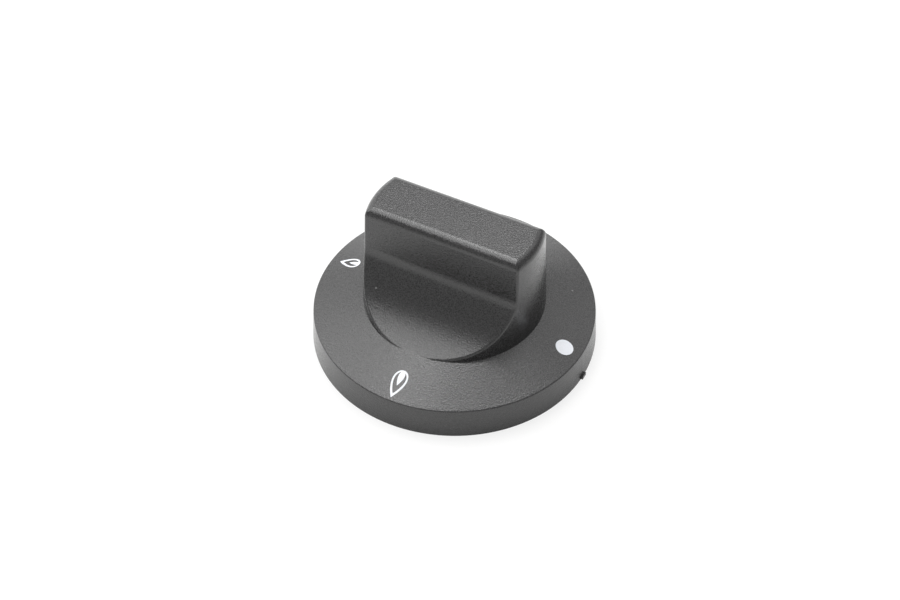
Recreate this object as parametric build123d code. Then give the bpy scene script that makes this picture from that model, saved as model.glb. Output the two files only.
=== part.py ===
from build123d import *
import math
import os

# Gas valve knob: a round skirt with a conical top and a bar grip, moulded in one piece and
# hollow underneath, with a leaf spring in its socket for the valve's D-shaped spindle.
# The foot of the rim lies in the XY plane, with its centre at the origin. The bar runs along X
# with its pointing end at +X, and +Z points away from the cooker's panel.
# Lengths are in millimetres and angles in degrees.

# Skirt
knob_diameter = 70.0  # across the foot of the rim
rim_height = 8.1  # from the foot to the edge of the conical top
rim_draft = 3.0
rim_edge_radius = 0.35
shoulder_height = 11.8  # where the cone meets the ends of the grip
wall = 2.4  # thickness of the skirt and of the grip

# Grip
overall_height = 37.5
grip_length = 44.6  # over its rounded ends, where they meet the cone
grip_thickness = 14.9  # over its flat sides, at the top
end_draft = 1.8
side_draft = 1.5
break_height = 24.8  # where the flat sides break into the flare
break_radius = 6.0  # of the hollow along that break
flare_inset = 0.9  # from the circle of the grip's ends in to the flare's foot
flare_landing = 3.0  # how much steeper than the cone the flare comes down on it
grip_top_radius = 2.2  # of the edge round its top
grip_corner_radius = 0.7  # of the edges between its sides and its ends

# Hub with the socket for the spindle
spindle_diameter = 8.0
spindle_across_flat = 6.5
spindle_clearance = 0.05  # round the spindle and at its flat
socket_roof = 6.3  # from the end of the socket to the top of the grip
socket_lead_in = 0.6
hub_diameter = 14.0
hub_recess = 1.0  # from the foot of the rim up to the hub's mouth

# Ribs between the hub and the rim
rib_count = 4
rib_thickness = 1.6
rib_recess = 2.5  # from the foot of the rim up to the ribs

# Leaf spring in a recess of the socket's flat
spring_thickness = 0.5
spring_width = 5.0
spring_length = 15.0
spring_bow = 1.0
spring_reach = 0.25  # how far its crest stands into the socket
spring_set_back = 1.0  # from the hub's mouth up to the spring
spring_side_clearance = 0.2
spring_seat_clearance = 0.02

# Gate vestige at the foot of the rim
gate_width = 1.8
gate_height = 0.9
gate_reach = 0.45

# Sizes that follow from those above
rim_foot_radius = knob_diameter / 2
rim_slope = math.tan(math.radians(rim_draft))
grip_radius = grip_length / 2
cone_slope = (shoulder_height - rim_height) / (rim_foot_radius - rim_height * rim_slope - grip_radius)
cone_angle = math.degrees(math.atan(cone_slope))
socket_radius = spindle_diameter / 2 + spindle_clearance
socket_flat = spindle_across_flat - spindle_diameter / 2 + spindle_clearance
socket_top = overall_height - socket_roof
recess_depth = spring_bow + spring_thickness - spring_reach + spring_seat_clearance
recess_top = hub_recess + spring_set_back + spring_length + spring_seat_clearance


def cone_height(radius, inset=0.0):
    """Height of the skirt's conical top at a radius, sunk by an inset square to it."""
    sunk = inset / math.cos(math.radians(cone_angle))
    return shoulder_height + (grip_radius - radius) * cone_slope - sunk


def skirt(inset, foot, edge_round=0.0):
    """Solid inside the rim wall and under the conical top, both sunk by the inset."""
    level_radius = rim_foot_radius - inset / math.cos(math.radians(rim_draft))
    edge_x = (level_radius - rim_slope * cone_height(0, inset)) / (1 - rim_slope * cone_slope)
    edge = (edge_x, cone_height(edge_x, inset))
    outline = Polyline(
        (0, foot),
        (level_radius - foot * rim_slope, foot),
        edge,
        (0, cone_height(0, inset)),
        close=True,
    )
    half_section = make_face(outline)
    if edge_round:
        edge_corner = half_section.vertices().sort_by_distance(edge)[0]
        half_section = fillet(edge_corner, edge_round)
    return revolve(Plane.XZ * half_section, Axis.Z)


def grip_section(foot):
    """Section across the bar: flat sides, the break and the flare that lands on the cone."""
    half_top = grip_thickness / 2
    half_break = half_top + (overall_height - break_height) * math.tan(math.radians(side_draft))
    landing_radius = grip_radius - flare_inset
    landing = Vector(landing_radius, cone_height(landing_radius))
    slope = Vector(1, 0).rotate(Axis.Z, -cone_angle - flare_landing)
    run_out = landing + slope * (2 * flare_inset + wall)
    side_break = Vector(half_break, break_height)
    flare = TangentArc(landing, side_break, tangent=-slope)
    half = Polyline(
        side_break,
        (half_top, overall_height),
        (0, overall_height),
        (0, foot),
        (run_out.X, foot),
        run_out,
        landing,
    )
    face = make_face([flare, half])
    break_corner = face.vertices().sort_by_distance(side_break)[0]
    face = fillet(break_corner, break_radius)
    return face + mirror(face, Plane.YZ)


def grip(inset, foot):
    """The bar, cut round at its ends, with every face sunk by the inset."""
    section = grip_section(foot - inset)
    if inset:
        section = offset(section, -inset, kind=Kind.INTERSECTION)
    bar = extrude(Plane.YZ * section, amount=grip_length, both=True)
    end_slope = math.tan(math.radians(end_draft))
    level_radius = grip_radius + shoulder_height * end_slope - inset / math.cos(math.radians(end_draft))
    ends = Cone(
        level_radius - foot * end_slope,
        level_radius - overall_height * end_slope,
        overall_height - foot,
        rotation=(0, 0, 90),
        align=(Align.CENTER, Align.CENTER, Align.MIN),
    )
    return bar & (Pos(0, 0, foot) * ends)


def rounded_grip():
    """The grip's outside, down into the skirt, with its corner edges and then its top rounded."""
    solid = grip(0, rim_height / 2)
    top = solid.faces().sort_by(Axis.Z)[-1]
    bottom = solid.faces().sort_by(Axis.Z)[0]
    ends = solid.faces().filter_by(GeomType.CONE)
    sides = solid.faces() - ends - ShapeList([top, bottom])
    solid = fillet(ends.edges() & sides.edges(), grip_corner_radius)
    top = solid.faces().sort_by(Axis.Z)[-1]
    return fillet(top.edges(), grip_top_radius)


def ribs():
    """Upright plates from the hub out through the rim wall, between the bar and its square."""
    plate = Box(
        rim_foot_radius,
        rib_thickness,
        overall_height,
        align=(Align.MIN, Align.CENTER, Align.MIN),
    )
    first_angle = 180 / rib_count
    return PolarLocations(0, rib_count, first_angle) * (Pos(0, 0, rib_recess) * plate)


def socket():
    """D-shaped hole for the spindle, with its lead-in and the recess for the spring."""
    round_shape = Circle(socket_radius)
    d_shape = split(round_shape, Plane.YZ.offset(socket_flat), keep=Keep.BOTTOM)
    hole = extrude(d_shape, socket_top - hub_recess)
    hole += Cone(
        socket_radius + socket_lead_in,
        socket_radius,
        socket_lead_in,
        align=(Align.CENTER, Align.CENTER, Align.MIN),
    )
    hole += Box(
        socket_flat + recess_depth,
        spring_width + 2 * spring_side_clearance,
        recess_top - hub_recess,
        align=(Align.MIN, Align.CENTER, Align.MIN),
    )
    return Pos(0, 0, hub_recess) * hole


def knob_body():
    """The whole moulding."""
    outside = skirt(0, 0, rim_edge_radius) + rounded_grip()
    hub = Pos(0, 0, hub_recess) * Cylinder(
        hub_diameter / 2, overall_height, align=(Align.CENTER, Align.CENTER, Align.MIN)
    )
    hollow = skirt(wall, -wall) + grip(wall, -wall) - hub - ribs()
    gate = Box(
        wall + gate_reach, gate_width, gate_height, align=(Align.MAX, Align.CENTER, Align.MIN)
    )
    return outside - hollow - socket() + Pos(rim_foot_radius + gate_reach, 0, 0) * gate


def shaft_spring():
    """Bowed leaf, its crest in the socket and its ends on the back of the recess."""
    crest = socket_flat - spring_reach
    low = hub_recess + spring_set_back
    middle = low + spring_length / 2
    high = low + spring_length
    front = ThreePointArc((crest + spring_bow, low), (crest, middle), (crest + spring_bow, high))
    back = front.moved(Location((spring_thickness, 0, 0)))
    ends = [Line(front @ 0, back @ 0), Line(front @ 1, back @ 1)]
    leaf = make_face([front, back, *ends])
    return extrude(Plane.XZ * leaf, amount=spring_width / 2, both=True)


os.makedirs("parts", exist_ok=True)
export_step(knob_body(), "parts/knob_body.step")
export_step(shaft_spring(), "parts/shaft_spring.step")
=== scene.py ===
"""Looks of a gas valve knob: grained charcoal plastic, white printed marks and a steel leaf spring."""

import math
from typing import NamedTuple

import bpy
from bpy.props import FloatProperty, FloatVectorProperty, PointerProperty
from bpy.types import Operator, Panel, PropertyGroup
from mathutils import Matrix, Vector


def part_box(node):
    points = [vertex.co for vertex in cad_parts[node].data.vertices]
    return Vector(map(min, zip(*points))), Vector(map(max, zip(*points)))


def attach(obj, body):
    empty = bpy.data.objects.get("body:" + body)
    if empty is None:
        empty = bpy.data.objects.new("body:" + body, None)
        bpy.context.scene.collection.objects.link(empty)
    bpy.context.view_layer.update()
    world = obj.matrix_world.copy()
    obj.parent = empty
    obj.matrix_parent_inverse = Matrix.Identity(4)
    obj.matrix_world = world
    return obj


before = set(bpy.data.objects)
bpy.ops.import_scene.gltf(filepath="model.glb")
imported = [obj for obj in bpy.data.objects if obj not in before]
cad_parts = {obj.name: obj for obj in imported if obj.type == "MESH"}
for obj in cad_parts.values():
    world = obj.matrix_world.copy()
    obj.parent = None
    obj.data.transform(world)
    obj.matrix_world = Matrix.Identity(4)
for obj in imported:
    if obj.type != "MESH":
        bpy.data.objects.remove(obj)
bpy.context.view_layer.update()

bl_info = {
    "name": "Gas valve knob",
    "version": (1, 0, 0),
    "blender": (4, 5, 0),
    "location": "3D View > Sidebar > Knob",
    "description": "Finishes a gas valve knob: plastic, printed marks, leaf spring and studio",
    "category": "Object",
}

# Sizes taken from the frame, in metres
KNOB_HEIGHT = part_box("knob_body")[1].z

# Fixed facts of the build
BODY = "root"
PHOTO_WIDTH = 900
PHOTO_HEIGHT = 600
SENSOR_WIDTH = 36.0
LIGHT_DISTANCE = 1.0  # from each softbox to the knob
FLOOR_HALF_WIDTH = 1.5
FLOOR_DROP = 0.00003  # from the rim's foot down to the floor, so that no two faces share a place
DOT_STEPS = 64  # corners round the dot
DROP_STEPS = 72  # corners round a flame
TEARDROP_BULGE = 4 / (3 * math.sqrt(3))  # largest half width of the plain teardrop formula
TIP_SHARE = 2.3  # a flame's line is this much longer at its tip than it is wide

# Shares that give the finishes their character
LUMP_SCALE = 0.8  # of the grain's lumps, against its pits
CLOUD_SCALE = 0.05  # of the slow clouds of colour, against the pits
FLECK_LOW = 0.35  # the fleck noise is stretched from here
FLECK_HIGH = 0.65  # up to here
FLECK_CONTRAST = 0.45  # of the flecks in the plastic's colour
CLOUD_CONTRAST = 0.15  # of the clouds in the plastic's colour
GLOSS_SPREAD = 0.04  # of the plastic's roughness, either way
INK_CONTRAST = 0.06  # of the flecks in the ink's colour
INK_ROUGHNESS = 0.5
STREAK_STRETCH = 60.0  # length of a rolling streak against its width
STREAK_DEPTH = 0.000004


# Settings


class PlasticSettings(PropertyGroup):
    """Finish of the moulded body."""

    charcoal: FloatVectorProperty(
        name="Charcoal",
        description="Colour of the moulded plastic",
        subtype="COLOR",
        min=0.0,
        max=1.0,
        default=(0.0225, 0.0222, 0.0225),
    )
    roughness: FloatProperty(
        name="Roughness",
        description="How satin the grained surface is",
        subtype="FACTOR",
        min=0.0,
        max=1.0,
        default=0.20,
    )
    refraction: FloatProperty(
        name="Refraction",
        description="Index of refraction of the plastic, which sets how much it mirrors",
        min=1.0,
        max=2.0,
        default=1.58,
    )
    grain_size: FloatProperty(
        name="Grain size",
        description="Width of one pit of the spark-eroded grain",
        unit="LENGTH",
        default=0.0003,
    )
    grain_depth: FloatProperty(
        name="Grain depth",
        description="Height of the grain",
        unit="LENGTH",
        default=0.000036,
    )
    dust: FloatVectorProperty(
        name="Dust",
        description="Colour of a dust speck",
        subtype="COLOR",
        min=0.0,
        max=1.0,
        default=(0.12, 0.12, 0.12),
    )
    speck_size: FloatProperty(
        name="Speck size",
        description="Radius of a dust speck",
        unit="LENGTH",
        default=0.0003,
    )
    disc_speck: FloatVectorProperty(
        name="Speck on the skirt",
        description="Place of the dust speck on the conical top",
        subtype="XYZ",
        unit="LENGTH",
        default=(0.0241, 0.0164, 0.0097),
    )
    flare_speck: FloatVectorProperty(
        name="Speck on the flare",
        description="Place of the dust speck on the grip's flare",
        subtype="XYZ",
        unit="LENGTH",
        default=(-0.01495, -0.0122, 0.0181),
    )
    # Near-black colour on the gate nub at the rim's foot: partly the broken gate's own tone, partly
    # painted shade for the deep shade under the nub.
    scar_and_shade: FloatVectorProperty(
        name="Gate scar",
        description="Colour of the broken gate at the rim's foot",
        subtype="COLOR",
        min=0.0,
        max=1.0,
        default=(0.004, 0.004, 0.004),
    )
    # Place of the gate nub's near-black patch, which is partly painted shade.
    scar_and_shade_place: FloatVectorProperty(
        name="Gate place",
        description="Place of the broken gate",
        subtype="XYZ",
        unit="LENGTH",
        default=(0.0353, 0.0, 0.0004),
    )
    # Radius of the gate nub's near-black patch; only its colour changes, and part of that darkness is
    # painted shade.
    scar_and_shade_radius: FloatProperty(
        name="Gate size",
        description="Radius of the broken gate's dull patch",
        unit="LENGTH",
        default=0.0011,
    )


class MarkSettings(PropertyGroup):
    """Printed marks on the conical top of the skirt."""

    ink: FloatVectorProperty(
        name="Ink",
        description="Colour of the printing ink",
        subtype="COLOR",
        min=0.0,
        max=1.0,
        default=(0.72, 0.74, 0.78),
    )
    ink_thickness: FloatProperty(
        name="Ink thickness",
        description="How far the ink stands on the plastic",
        unit="LENGTH",
        default=0.00002,
    )
    dot_diameter: FloatProperty(
        name="Dot diameter",
        description="Diameter of the off mark",
        unit="LENGTH",
        default=0.0043,
    )
    dot_distance: FloatProperty(
        name="Dot distance",
        description="From the turning axis to the middle of the dot",
        unit="LENGTH",
        default=0.03035,
    )
    dot_angle: FloatProperty(
        name="Dot angle",
        description="Place of the dot round the axis",
        subtype="ANGLE",
        default=math.radians(-2.45),
    )
    flame_stroke: FloatProperty(
        name="Flame line",
        description="Width of the line round a flame",
        unit="LENGTH",
        default=0.00043,
    )
    large_length: FloatProperty(
        name="Large flame length",
        description="From its round end to its tip",
        unit="LENGTH",
        default=0.00716,
    )
    large_width: FloatProperty(
        name="Large flame width",
        description="Across its widest place",
        unit="LENGTH",
        default=0.0037,
    )
    large_tongue_length: FloatProperty(
        name="Large tongue length",
        description="From the flame's round end to the tip of the tongue inside it",
        unit="LENGTH",
        default=0.00402,
    )
    large_tongue_width: FloatProperty(
        name="Large tongue width",
        description="Across the tongue's widest place",
        unit="LENGTH",
        default=0.0015,
    )
    large_distance: FloatProperty(
        name="Large flame distance",
        description="From the turning axis to its round end",
        unit="LENGTH",
        default=0.02658,
    )
    large_angle: FloatProperty(
        name="Large flame angle",
        description="Place of the large flame round the axis",
        subtype="ANGLE",
        default=math.radians(-88.95),
    )
    small_length: FloatProperty(
        name="Small flame length",
        description="From its round end to its tip",
        unit="LENGTH",
        default=0.00559,
    )
    small_width: FloatProperty(
        name="Small flame width",
        description="Across its widest place",
        unit="LENGTH",
        default=0.00316,
    )
    small_tongue_length: FloatProperty(
        name="Small tongue length",
        description="From the flame's round end to the tip of the tongue inside it",
        unit="LENGTH",
        default=0.00294,
    )
    small_tongue_width: FloatProperty(
        name="Small tongue width",
        description="Across the tongue's widest place",
        unit="LENGTH",
        default=0.00105,
    )
    small_distance: FloatProperty(
        name="Small flame distance",
        description="From the turning axis to its round end",
        unit="LENGTH",
        default=0.02634,
    )
    small_angle: FloatProperty(
        name="Small flame angle",
        description="Place of the small flame round the axis",
        subtype="ANGLE",
        default=math.radians(181.0),
    )


class SpringSettings(PropertyGroup):
    """Finish of the leaf spring in the socket."""

    steel: FloatVectorProperty(
        name="Steel",
        description="Colour of the spring strip",
        subtype="COLOR",
        min=0.0,
        max=1.0,
        default=(0.60, 0.60, 0.62),
    )
    streak_width: FloatProperty(
        name="Streak width",
        description="Width of one rolling streak along the strip",
        unit="LENGTH",
        default=0.0001,
    )


class StageSettings(PropertyGroup):
    """Floor, lights and camera."""

    floor: FloatVectorProperty(
        name="Floor",
        description="Colour of the floor",
        subtype="COLOR",
        min=0.0,
        max=1.0,
        default=(0.92, 0.92, 0.915),
    )
    floor_glow: FloatProperty(
        name="Floor glow",
        description="Share of the floor that the camera sees as plain white",
        subtype="FACTOR",
        min=0.0,
        max=1.0,
        default=0.75,
    )
    mirrored_glow: FloatProperty(
        name="Mirrored glow",
        description="Share of the floor that is plain white where the knob mirrors it",
        subtype="FACTOR",
        min=0.0,
        max=1.0,
        default=0.3,
    )
    room: FloatProperty(
        name="Room",
        description="Brightness of the room round the set",
        min=0.0,
        default=0.48,
    )
    brightness: FloatProperty(
        name="Brightness",
        description="Brightness of all the softboxes",
        min=0.0,
        default=0.8,
    )
    view_azimuth: FloatProperty(
        name="View azimuth",
        description="How far the camera is turned round the knob from looking along +Y",
        subtype="ANGLE",
        default=math.radians(27.5),
    )
    view_elevation: FloatProperty(
        name="View elevation",
        description="How far the camera looks down",
        subtype="ANGLE",
        default=math.radians(46.075),
    )
    view_roll: FloatProperty(
        name="View roll",
        description="How far the camera leans",
        subtype="ANGLE",
        default=math.radians(0.09),
    )
    view_depth: FloatProperty(
        name="View depth",
        description="From the camera to the knob's origin, along the line of sight",
        unit="LENGTH",
        default=0.49605,
    )
    lens: FloatProperty(
        name="Lens",
        description="Focal length in millimetres",
        min=1.0,
        default=80.0,
    )
    origin_pixel: FloatVectorProperty(
        name="Origin in the picture",
        description="Pixel where the knob's origin lies, counted from the top left corner",
        size=2,
        default=(454.51, 327.68),
    )


# Node helpers


def add_node(tree, kind, inputs=None, **settings):
    """A node with its settings. An input is a value or another node's output."""
    node = tree.nodes.new(kind)
    for name, value in settings.items():
        setattr(node, name, value)
    for key, value in (inputs or {}).items():
        if isinstance(value, bpy.types.NodeSocket):
            tree.links.new(value, node.inputs[key])
        else:
            node.inputs[key].default_value = value
    return node


def maths(tree, operation, first, second=0.0):
    """Output of one sum on numbers."""
    node = add_node(tree, "ShaderNodeMath", {0: first, 1: second}, operation=operation)
    return node.outputs[0]


def blend(tree, share, first, second):
    """Output of a mix of two colours by a share."""
    node = add_node(tree, "ShaderNodeMix", {0: share, 6: first, 7: second}, data_type="RGBA")
    return node.outputs[2]


def shaded(colour, share):
    """A colour made darker or paler by a share, as a node socket takes it."""
    return (*[min(1.0, share * part) for part in colour], 1.0)


def new_group(name, kind, inputs, outputs):
    """A node group with named sockets, and its input and output nodes."""
    tree = bpy.data.node_groups.new(name, kind)
    for label, socket_type in inputs:
        tree.interface.new_socket(label, in_out="INPUT", socket_type=socket_type)
    for label, socket_type in outputs:
        tree.interface.new_socket(label, in_out="OUTPUT", socket_type=socket_type)
    given = tree.nodes.new("NodeGroupInput").outputs
    result = tree.nodes.new("NodeGroupOutput").inputs
    return tree, given, result


def new_material(name):
    """An empty node material with its Principled shader linked up."""
    material = bpy.data.materials.new(name)
    material.use_nodes = True
    tree = material.node_tree
    shader = tree.nodes["Principled BSDF"]
    return material, tree, shader


# Shared surface effects


def moulded_grain_group():
    """Spark-eroded grain: pits for the bump, and cloudy values for colour and gloss."""
    tree, given, result = new_group(
        "Moulded grain",
        "ShaderNodeTree",
        [("Size", "NodeSocketFloat")],
        [("Height", "NodeSocketFloat"), ("Cloud", "NodeSocketFloat"), ("Fleck", "NodeSocketFloat")],
    )
    place = add_node(tree, "ShaderNodeTexCoord").outputs["Object"]
    scale = maths(tree, "DIVIDE", 1.0, given["Size"])
    coarse = maths(tree, "MULTIPLY", scale, LUMP_SCALE)
    cloudy = maths(tree, "MULTIPLY", scale, CLOUD_SCALE)
    pits = add_node(
        tree,
        "ShaderNodeTexVoronoi",
        {"Vector": place, "Scale": scale, "Smoothness": 0.6, "Randomness": 1.0},
        feature="SMOOTH_F1",
    )
    lumps = add_node(
        tree,
        "ShaderNodeTexNoise",
        {"Vector": place, "Scale": coarse, "Detail": 3.0, "Roughness": 0.6},
    )
    cloud = add_node(
        tree,
        "ShaderNodeTexNoise",
        {"Vector": place, "Scale": cloudy, "Detail": 4.0, "Roughness": 0.55},
    )
    fleck = add_node(
        tree,
        "ShaderNodeTexNoise",
        {"Vector": place, "Scale": scale, "Detail": 1.0, "Roughness": 0.5},
    )
    height = maths(tree, "ADD", pits.outputs["Distance"], lumps.outputs["Fac"])
    tree.links.new(height, result["Height"])
    tree.links.new(cloud.outputs["Fac"], result["Cloud"])
    tree.links.new(fleck.outputs["Fac"], result["Fleck"])
    return tree


def shared_grain():
    """The grain group, built once."""
    return bpy.data.node_groups.get("Moulded grain") or moulded_grain_group()


def spot_group():
    """A small round spot on the surface, at a place of the knob."""
    tree, given, result = new_group(
        "Spot",
        "ShaderNodeTree",
        [("Centre", "NodeSocketVector"), ("Radius", "NodeSocketFloat")],
        [("Mask", "NodeSocketFloat")],
    )
    place = add_node(tree, "ShaderNodeTexCoord").outputs["Object"]
    away = add_node(tree, "ShaderNodeVectorMath", {0: place, 1: given["Centre"]}, operation="DISTANCE")
    edge = add_node(
        tree,
        "ShaderNodeMapRange",
        {
            "Value": maths(tree, "DIVIDE", away.outputs["Value"], given["Radius"]),
            "From Min": 1.0,
            "From Max": 0.6,
        },
    )
    tree.links.new(edge.outputs["Result"], result["Mask"])
    return tree


# Plastic


def plastic_material(settings, grain):
    """Charcoal plastic with a fine satin grain."""
    material, tree, shader = new_material("Charcoal plastic")
    surface = add_node(tree, "ShaderNodeGroup", {"Size": settings.grain_size}, node_tree=grain)
    fleck = add_node(
        tree,
        "ShaderNodeMapRange",
        {"Value": surface.outputs["Fleck"], "From Min": FLECK_LOW, "From Max": FLECK_HIGH},
    )

    def clouded(share):
        dark = shaded(settings.charcoal, share - CLOUD_CONTRAST)
        pale = shaded(settings.charcoal, share + CLOUD_CONTRAST)
        return blend(tree, surface.outputs["Cloud"], dark, pale)

    colour = blend(tree, fleck.outputs["Result"], clouded(1 - FLECK_CONTRAST), clouded(1 + FLECK_CONTRAST))
    spot = spot_group()
    # Two dust specks, and the near-black patch on the gate nub, which is partly painted shade under the
    # nub.
    for centre, size, paint in (
        (settings.disc_speck, settings.speck_size, settings.dust),
        (settings.flare_speck, settings.speck_size, settings.dust),
        (settings.scar_and_shade_place, settings.scar_and_shade_radius, settings.scar_and_shade),
    ):
        mark = add_node(tree, "ShaderNodeGroup", {"Centre": centre, "Radius": size}, node_tree=spot)
        colour = blend(tree, mark.outputs["Mask"], colour, (*paint, 1.0))
    gloss = add_node(
        tree,
        "ShaderNodeMapRange",
        {
            "Value": surface.outputs["Fleck"],
            "From Min": 0.3,
            "From Max": 0.7,
            "To Min": settings.roughness - GLOSS_SPREAD,
            "To Max": settings.roughness + GLOSS_SPREAD,
        },
    )
    bump = add_node(
        tree,
        "ShaderNodeBump",
        {"Strength": 1.0, "Distance": settings.grain_depth, "Height": surface.outputs["Height"]},
    )
    shader.inputs["IOR"].default_value = settings.refraction
    tree.links.new(colour, shader.inputs["Base Color"])
    tree.links.new(gloss.outputs["Result"], shader.inputs["Roughness"])
    tree.links.new(bump.outputs["Normal"], shader.inputs["Normal"])
    return material


class KNOB_OT_finish_body(Operator):
    """Give the moulded body its grained charcoal plastic"""

    bl_idname = "knob.finish_body"
    bl_label = "Finish the body"

    def execute(self, context):
        material = plastic_material(context.scene.knob_plastic, shared_grain())
        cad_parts["knob_body"].material_slots[0].material = material
        return {"FINISHED"}


# Printed marks


def ink_material(settings, plastic, grain):
    """White printing ink, thin enough to follow the grain under it."""
    material, tree, shader = new_material("White ink")
    surface = add_node(tree, "ShaderNodeGroup", {"Size": plastic.grain_size}, node_tree=grain)
    colour = blend(
        tree,
        surface.outputs["Fleck"],
        shaded(settings.ink, 1 - INK_CONTRAST),
        shaded(settings.ink, 1 + INK_CONTRAST),
    )
    bump = add_node(
        tree,
        "ShaderNodeBump",
        {"Strength": 1.0, "Distance": plastic.grain_depth / 2, "Height": surface.outputs["Height"]},
    )
    shader.inputs["Roughness"].default_value = INK_ROUGHNESS
    tree.links.new(colour, shader.inputs["Base Color"])
    tree.links.new(bump.outputs["Normal"], shader.inputs["Normal"])
    return material


def point_place(tree):
    """The place of each point of a mesh, as outputs X, Y and Z."""
    place = add_node(tree, "GeometryNodeInputPosition")
    return add_node(tree, "ShaderNodeSeparateXYZ", {0: place.outputs[0]}).outputs


def teardrop_group():
    """A flat block in the shape of a drop, its round end at Start and its tip at End along X."""
    tree, given, result = new_group(
        "Teardrop",
        "GeometryNodeTree",
        [
            ("Start", "NodeSocketFloat"),
            ("End", "NodeSocketFloat"),
            ("Width", "NodeSocketFloat"),
            ("Thickness", "NodeSocketFloat"),
        ],
        [("Mesh", "NodeSocketGeometry")],
    )
    block = add_node(
        tree,
        "GeometryNodeMeshCylinder",
        {"Vertices": DROP_STEPS, "Radius": 1.0, "Depth": 2.0},
        fill_type="NGON",
    )
    place = point_place(tree)
    half_length = maths(tree, "MULTIPLY", maths(tree, "SUBTRACT", given["End"], given["Start"]), 0.5)
    along = maths(tree, "MULTIPLY", maths(tree, "ADD", place["X"], 1.0), half_length)
    from_tip = maths(tree, "MAXIMUM", maths(tree, "SUBTRACT", 1.0, place["X"]), 0.0)
    narrowing = maths(tree, "SQRT", maths(tree, "MULTIPLY", from_tip, 0.5))
    bulge = maths(tree, "MULTIPLY", given["Width"], 0.5 / TEARDROP_BULGE)
    across = maths(tree, "MULTIPLY", maths(tree, "MULTIPLY", place["Y"], narrowing), bulge)
    shaped = add_node(
        tree,
        "ShaderNodeCombineXYZ",
        {
            "X": maths(tree, "ADD", along, given["Start"]),
            "Y": across,
            "Z": maths(tree, "MULTIPLY", place["Z"], given["Thickness"]),
        },
    )
    moved = add_node(
        tree,
        "GeometryNodeSetPosition",
        {"Geometry": block.outputs["Mesh"], "Position": shaped.outputs[0]},
    )
    tree.links.new(moved.outputs[0], result["Mesh"])
    return tree


def lay_on_knob_group():
    """Carries a flat block out from the axis and drapes it on the surface under it."""
    tree, given, result = new_group(
        "Lay on knob",
        "GeometryNodeTree",
        [
            ("Mesh", "NodeSocketGeometry"),
            ("Distance", "NodeSocketFloat"),
            ("Angle", "NodeSocketFloat"),
            ("Knob", "NodeSocketObject"),
        ],
        [("Mesh", "NodeSocketGeometry")],
    )
    triangles = add_node(tree, "GeometryNodeTriangulate", {"Mesh": given["Mesh"]})
    fine = add_node(tree, "GeometryNodeSubdivideMesh", {"Mesh": triangles.outputs[0], "Level": 2})
    outwards = add_node(tree, "ShaderNodeCombineXYZ", {"X": given["Distance"]})
    turn = add_node(tree, "ShaderNodeCombineXYZ", {"Z": given["Angle"]})
    out = add_node(
        tree,
        "GeometryNodeTransform",
        {"Geometry": fine.outputs[0], "Translation": outwards.outputs[0]},
    )
    round_axis = add_node(
        tree,
        "GeometryNodeTransform",
        {"Geometry": out.outputs[0], "Rotation": turn.outputs[0]},
    )
    place = point_place(tree)
    above = add_node(
        tree,
        "ShaderNodeCombineXYZ",
        {"X": place["X"], "Y": place["Y"], "Z": 2 * KNOB_HEIGHT},
    )
    knob = add_node(tree, "GeometryNodeObjectInfo", {"Object": given["Knob"]})
    ray = add_node(
        tree,
        "GeometryNodeRaycast",
        {
            "Target Geometry": knob.outputs["Geometry"],
            "Source Position": above.outputs[0],
            "Ray Direction": (0.0, 0.0, -1.0),
            "Ray Length": 2 * KNOB_HEIGHT,
        },
    )
    lift = add_node(tree, "ShaderNodeCombineXYZ", {"Z": place["Z"]})
    landed = add_node(
        tree,
        "GeometryNodeSetPosition",
        {
            "Geometry": round_axis.outputs[0],
            "Position": ray.outputs["Hit Position"],
            "Offset": lift.outputs[0],
        },
    )
    tree.links.new(landed.outputs[0], result["Mesh"])
    return tree


def finish_tree(tree, mesh, lay_on_knob, given, result):
    """The end of a mark's tree: the mark laid on the knob, as plain geometry with the ink on it."""
    spot = {name: given[name] for name in ("Distance", "Angle", "Knob")}
    laid = add_node(tree, "GeometryNodeGroup", {"Mesh": mesh, **spot}, node_tree=lay_on_knob)
    plain = add_node(tree, "GeometryNodeRealizeInstances", {"Geometry": laid.outputs[0]})
    inked = add_node(
        tree,
        "GeometryNodeSetMaterial",
        {"Geometry": plain.outputs[0], "Material": given["Ink"]},
    )
    tree.links.new(inked.outputs[0], result["Geometry"])


def dot_tree(lay_on_knob):
    """The off mark: a round spot of ink."""
    tree, given, result = new_group(
        "Printed dot",
        "GeometryNodeTree",
        [
            ("Diameter", "NodeSocketFloat"),
            ("Distance", "NodeSocketFloat"),
            ("Angle", "NodeSocketFloat"),
            ("Thickness", "NodeSocketFloat"),
            ("Knob", "NodeSocketObject"),
            ("Ink", "NodeSocketMaterial"),
        ],
        [("Geometry", "NodeSocketGeometry")],
    )
    spot = add_node(
        tree,
        "GeometryNodeMeshCylinder",
        {
            "Vertices": DOT_STEPS,
            "Fill Segments": 2,
            "Radius": maths(tree, "MULTIPLY", given["Diameter"], 0.5),
            "Depth": maths(tree, "MULTIPLY", given["Thickness"], 2.0),
        },
        fill_type="TRIANGLE_FAN",
    )
    finish_tree(tree, spot.outputs["Mesh"], lay_on_knob, given, result)
    return tree


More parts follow.
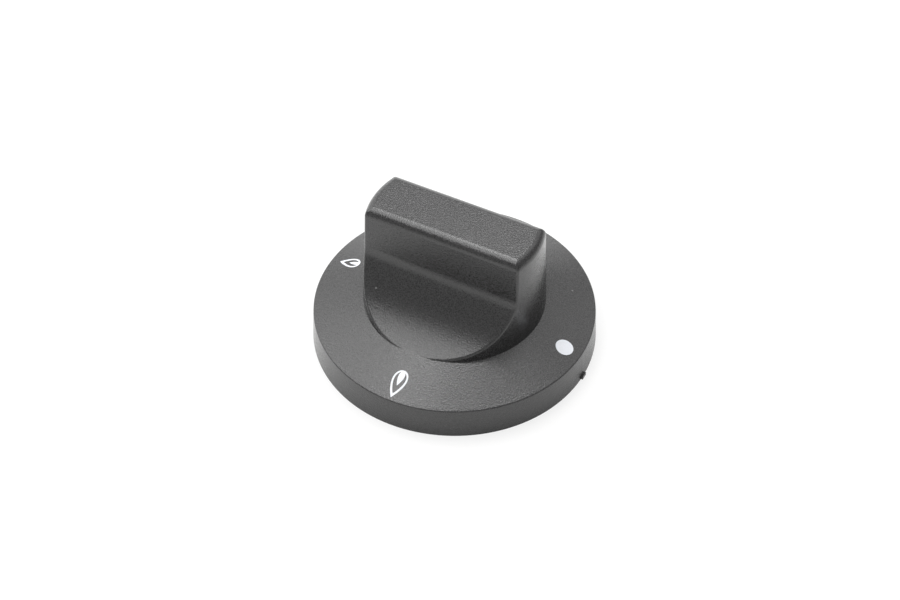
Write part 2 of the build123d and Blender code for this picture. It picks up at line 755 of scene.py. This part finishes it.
def flame_tree(teardrop, lay_on_knob):
    """A flame sign: a line in the shape of a drop with a solid tongue rising from its round end."""
    tree, given, result = new_group(
        "Printed flame",
        "GeometryNodeTree",
        [
            ("Length", "NodeSocketFloat"),
            ("Width", "NodeSocketFloat"),
            ("Stroke", "NodeSocketFloat"),
            ("Tongue Length", "NodeSocketFloat"),
            ("Tongue Width", "NodeSocketFloat"),
            ("Distance", "NodeSocketFloat"),
            ("Angle", "NodeSocketFloat"),
            ("Thickness", "NodeSocketFloat"),
            ("Knob", "NodeSocketObject"),
            ("Ink", "NodeSocketMaterial"),
        ],
        [("Geometry", "NodeSocketGeometry")],
    )

    def drop(start, end, width, thickness):
        sizes = {"Start": start, "End": end, "Width": width, "Thickness": thickness}
        return add_node(tree, "GeometryNodeGroup", sizes, node_tree=teardrop).outputs[0]

    def cut(block, cutter):
        meshes = {0: block, 1: cutter}
        node = add_node(tree, "GeometryNodeMeshBoolean", meshes, operation="DIFFERENCE", solver="EXACT")
        return node.outputs[0]

    stroke = given["Stroke"]
    inner_end = maths(tree, "SUBTRACT", given["Length"], maths(tree, "MULTIPLY", stroke, TIP_SHARE))
    inner_width = maths(tree, "SUBTRACT", given["Width"], maths(tree, "MULTIPLY", stroke, 2.0))
    thick = given["Thickness"]
    outside = drop(0.0, given["Length"], given["Width"], thick)
    inside = drop(stroke, inner_end, inner_width, maths(tree, "MULTIPLY", thick, 2.0))
    tongue = drop(
        maths(tree, "MULTIPLY", stroke, 0.5),
        given["Tongue Length"],
        given["Tongue Width"],
        maths(tree, "MULTIPLY", thick, 3.0),
    )
    flame = cut(outside, cut(inside, tongue))
    finish_tree(tree, flame, lay_on_knob, given, result)
    return tree


def print_mark(name, tree, values):
    """A plain mesh piece from a mark's tree, with the tree's inputs set by name."""
    start = bpy.data.objects.new(name + "_start", bpy.data.meshes.new(name + "_start"))
    bpy.context.scene.collection.objects.link(start)
    modifier = start.modifiers.new("Mark", "NODES")
    modifier.node_group = tree
    for item in tree.interface.items_tree:
        if item.in_out == "INPUT":
            modifier[item.identifier] = values[item.name]
    bpy.context.view_layer.update()
    made = start.evaluated_get(bpy.context.evaluated_depsgraph_get())
    mesh = bpy.data.meshes.new_from_object(made)
    bpy.data.objects.remove(start)
    if not mesh.polygons:
        raise RuntimeError("the mark " + name + " came out empty")
    mesh.name = name
    piece = bpy.data.objects.new(name, mesh)
    bpy.context.scene.collection.objects.link(piece)
    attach(piece, BODY)
    return piece


class KNOB_OT_print_marks(Operator):
    """Print the dot and the two flames on the conical top"""

    bl_idname = "knob.print_marks"
    bl_label = "Print the marks"

    def execute(self, context):
        marks = context.scene.knob_marks
        ink = ink_material(marks, context.scene.knob_plastic, shared_grain())
        lay_on_knob = lay_on_knob_group()
        shared = {
            "Thickness": marks.ink_thickness,
            "Stroke": marks.flame_stroke,
            "Knob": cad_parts["knob_body"],
            "Ink": ink,
        }
        print_mark(
            "off_dot",
            dot_tree(lay_on_knob),
            {
                "Diameter": marks.dot_diameter,
                "Distance": marks.dot_distance,
                "Angle": marks.dot_angle,
                **shared,
            },
        )
        flame = flame_tree(teardrop_group(), lay_on_knob)
        for size in ("large", "small"):
            values = {
                "Length": getattr(marks, size + "_length"),
                "Width": getattr(marks, size + "_width"),
                "Tongue Length": getattr(marks, size + "_tongue_length"),
                "Tongue Width": getattr(marks, size + "_tongue_width"),
                "Distance": getattr(marks, size + "_distance"),
                "Angle": getattr(marks, size + "_angle"),
                **shared,
            }
            print_mark(size + "_flame", flame, values)
        return {"FINISHED"}


# Leaf spring


def spring_material(settings):
    """Rolled spring strip, with fine streaks along its length."""
    material, tree, shader = new_material("Spring steel")
    place = add_node(tree, "ShaderNodeTexCoord").outputs["Object"]
    across = 1.0 / settings.streak_width
    along = across / STREAK_STRETCH
    stretched = add_node(tree, "ShaderNodeMapping", {"Vector": place, "Scale": (across, across, along)})
    streaks = add_node(
        tree,
        "ShaderNodeTexNoise",
        {"Vector": stretched.outputs[0], "Scale": 1.0, "Detail": 3.0, "Roughness": 0.6},
    )
    colour = blend(tree, streaks.outputs["Fac"], shaded(settings.steel, 0.8), shaded(settings.steel, 1.15))
    gloss = add_node(
        tree,
        "ShaderNodeMapRange",
        {"Value": streaks.outputs["Fac"], "To Min": 0.22, "To Max": 0.48},
    )
    bump = add_node(
        tree,
        "ShaderNodeBump",
        {"Strength": 0.4, "Distance": STREAK_DEPTH, "Height": streaks.outputs["Fac"]},
    )
    shader.inputs["Metallic"].default_value = 1.0
    tree.links.new(colour, shader.inputs["Base Color"])
    tree.links.new(gloss.outputs["Result"], shader.inputs["Roughness"])
    tree.links.new(bump.outputs["Normal"], shader.inputs["Normal"])
    return material


class KNOB_OT_finish_spring(Operator):
    """Give the leaf spring its rolled steel"""

    bl_idname = "knob.finish_spring"
    bl_label = "Finish the spring"

    def execute(self, context):
        material = spring_material(context.scene.knob_spring)
        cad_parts["shaft_spring"].material_slots[0].material = material
        return {"FINISHED"}


# Stage


class Softbox(NamedTuple):
    """A soft light. Its azimuth is counted to the right from straight behind the knob, in degrees."""

    name: str
    azimuth: float
    elevation: float
    width: float
    height: float
    radiance: float


SOFTBOXES = (
    Softbox("overhead", 0, 67, 0.42, 0.48, 7.7),
    Softbox("upper_right", 60, 67, 0.42, 0.48, 1.3),
    Softbox("upper_front_left", -120, 67, 0.42, 0.48, 4.0),
    Softbox("upper_back_left", -60, 67, 0.42, 0.48, 3.4),
    Softbox("back", 0, 41, 0.60, 0.48, 0.84),
    Softbox("back_right", 45, 41, 0.60, 0.48, 1.15),
    Softbox("back_left", -45, 41, 0.60, 0.48, 2.1),
    Softbox("low_back", 0, 14, 0.78, 0.48, 2.0),
    Softbox("low_back_left", -45, 14, 0.78, 0.48, 1.1),
    Softbox("left", -72, 40, 0.60, 0.48, 3.0),
)


def floor_material(settings):
    """Plain pale floor that the camera sees as white, with the knob's shadow kept."""
    material, tree, shader = new_material("Floor")
    shader.inputs["Base Color"].default_value = (*settings.floor, 1.0)
    shader.inputs["Roughness"].default_value = 0.9
    shader.inputs["Specular IOR Level"].default_value = 0.0
    white = add_node(tree, "ShaderNodeEmission", {"Color": (1.0, 1.0, 1.0, 1.0), "Strength": 1.0})
    light_path = add_node(tree, "ShaderNodeLightPath")
    mirrored = maths(
        tree, "MAXIMUM", light_path.outputs["Is Glossy Ray"], light_path.outputs["Is Transmission Ray"]
    )
    share = maths(
        tree,
        "ADD",
        maths(tree, "MULTIPLY", light_path.outputs["Is Camera Ray"], settings.floor_glow),
        maths(tree, "MULTIPLY", mirrored, settings.mirrored_glow),
    )
    mixed = add_node(
        tree,
        "ShaderNodeMixShader",
        {0: share, 1: shader.outputs[0], 2: white.outputs[0]},
    )
    tree.links.new(mixed.outputs[0], tree.nodes["Material Output"].inputs["Surface"])
    return material


def add_floor(settings):
    """A wide flat floor just under the rim."""
    mesh = bpy.data.meshes.new("floor")
    signs = ((-1, -1), (1, -1), (1, 1), (-1, 1))
    corners = [(x * FLOOR_HALF_WIDTH, y * FLOOR_HALF_WIDTH, -FLOOR_DROP) for x, y in signs]
    mesh.from_pydata(corners, [], [(0, 1, 2, 3)])
    mesh.materials.append(floor_material(settings))
    floor = bpy.data.objects.new("floor", mesh)
    bpy.context.scene.collection.objects.link(floor)


def add_softbox(softbox, brightness, turn):
    """A rectangular soft light, aimed at the knob."""
    data = bpy.data.lights.new(softbox.name, "AREA")
    data.shape = "RECTANGLE"
    data.size = softbox.width
    data.size_y = softbox.height
    data.energy = brightness * softbox.radiance * math.pi * softbox.width * softbox.height
    light = bpy.data.objects.new(softbox.name, data)
    bpy.context.scene.collection.objects.link(light)
    elevation = math.radians(softbox.elevation)
    upright = Vector((0.0, math.cos(elevation), math.sin(elevation)))
    place = turn @ Matrix.Rotation(math.radians(-softbox.azimuth), 3, "Z") @ upright * LIGHT_DISTANCE
    aim = (-place).to_track_quat("-Z", "Y").to_matrix().to_4x4()
    light.matrix_world = Matrix.Translation(place) @ aim


def add_room(brightness):
    """Even dim light from all round."""
    world = bpy.data.worlds.new("Room")
    world.use_nodes = True
    background = world.node_tree.nodes["Background"]
    background.inputs["Color"].default_value = (1.0, 1.0, 1.0, 1.0)
    background.inputs["Strength"].default_value = brightness
    bpy.context.scene.world = world


def add_camera(settings):
    """Camera at the photograph's view, with the knob's origin at its pixel."""
    data = bpy.data.cameras.new("Camera")
    data.lens = settings.lens
    data.sensor_width = SENSOR_WIDTH
    camera = bpy.data.objects.new("Camera", data)
    bpy.context.scene.collection.objects.link(camera)
    tilt = Matrix.Rotation(math.radians(90) - settings.view_elevation, 4, "X")
    roll = Matrix.Rotation(settings.view_roll, 4, "Z")
    turn = Matrix.Rotation(settings.view_azimuth, 4, "Z") @ tilt @ roll
    pixels = settings.lens / SENSOR_WIDTH * PHOTO_WIDTH
    sideways = (settings.origin_pixel[0] - PHOTO_WIDTH / 2) / pixels
    upwards = (PHOTO_HEIGHT / 2 - settings.origin_pixel[1]) / pixels
    origin_seen = Vector((sideways, upwards, -1.0)) * settings.view_depth
    camera.matrix_world = turn @ Matrix.Translation(-origin_seen)
    bpy.context.scene.camera = camera


class KNOB_OT_set_stage(Operator):
    """Set up the floor, the soft lights and the camera"""

    bl_idname = "knob.set_stage"
    bl_label = "Set the stage"

    def execute(self, context):
        stage = context.scene.knob_stage
        turn = Matrix.Rotation(stage.view_azimuth, 3, "Z")
        add_floor(stage)
        add_room(stage.room)
        for softbox in SOFTBOXES:
            add_softbox(softbox, stage.brightness, turn)
        add_camera(stage)
        context.scene.view_settings.view_transform = "Standard"
        return {"FINISHED"}


# Sidebar


class KNOB_PT_sidebar(Panel):
    """Steps and settings of the knob"""

    bl_idname = "KNOB_PT_sidebar"
    bl_label = "Gas valve knob"
    bl_space_type = "VIEW_3D"
    bl_region_type = "UI"
    bl_category = "Knob"

    def draw(self, context):
        layout = self.layout
        for operator, group in STEPS:
            box = layout.box()
            box.operator(operator.bl_idname)
            settings = getattr(context.scene, group)
            for name in settings.bl_rna.properties.keys():
                if name not in ("rna_type", "name"):
                    box.prop(settings, name)


# Registration and run

STEPS = (
    (KNOB_OT_finish_body, "knob_plastic"),
    (KNOB_OT_print_marks, "knob_marks"),
    (KNOB_OT_finish_spring, "knob_spring"),
    (KNOB_OT_set_stage, "knob_stage"),
)
GROUPS = {
    "knob_plastic": PlasticSettings,
    "knob_marks": MarkSettings,
    "knob_spring": SpringSettings,
    "knob_stage": StageSettings,
}


def register():
    for name, group in GROUPS.items():
        bpy.utils.register_class(group)
        setattr(bpy.types.Scene, name, PointerProperty(type=group))
    for operator, _ in STEPS:
        bpy.utils.register_class(operator)
    bpy.utils.register_class(KNOB_PT_sidebar)


def unregister():
    bpy.utils.unregister_class(KNOB_PT_sidebar)
    for operator, _ in STEPS:
        bpy.utils.unregister_class(operator)
    for name, group in GROUPS.items():
        delattr(bpy.types.Scene, name)
        bpy.utils.unregister_class(group)


def main():
    """Dress the knob, step by step."""
    register()
    bpy.ops.knob.finish_body()
    bpy.ops.knob.print_marks()
    bpy.ops.knob.finish_spring()
    bpy.ops.knob.set_stage()


if __name__ == "__main__":
    main()
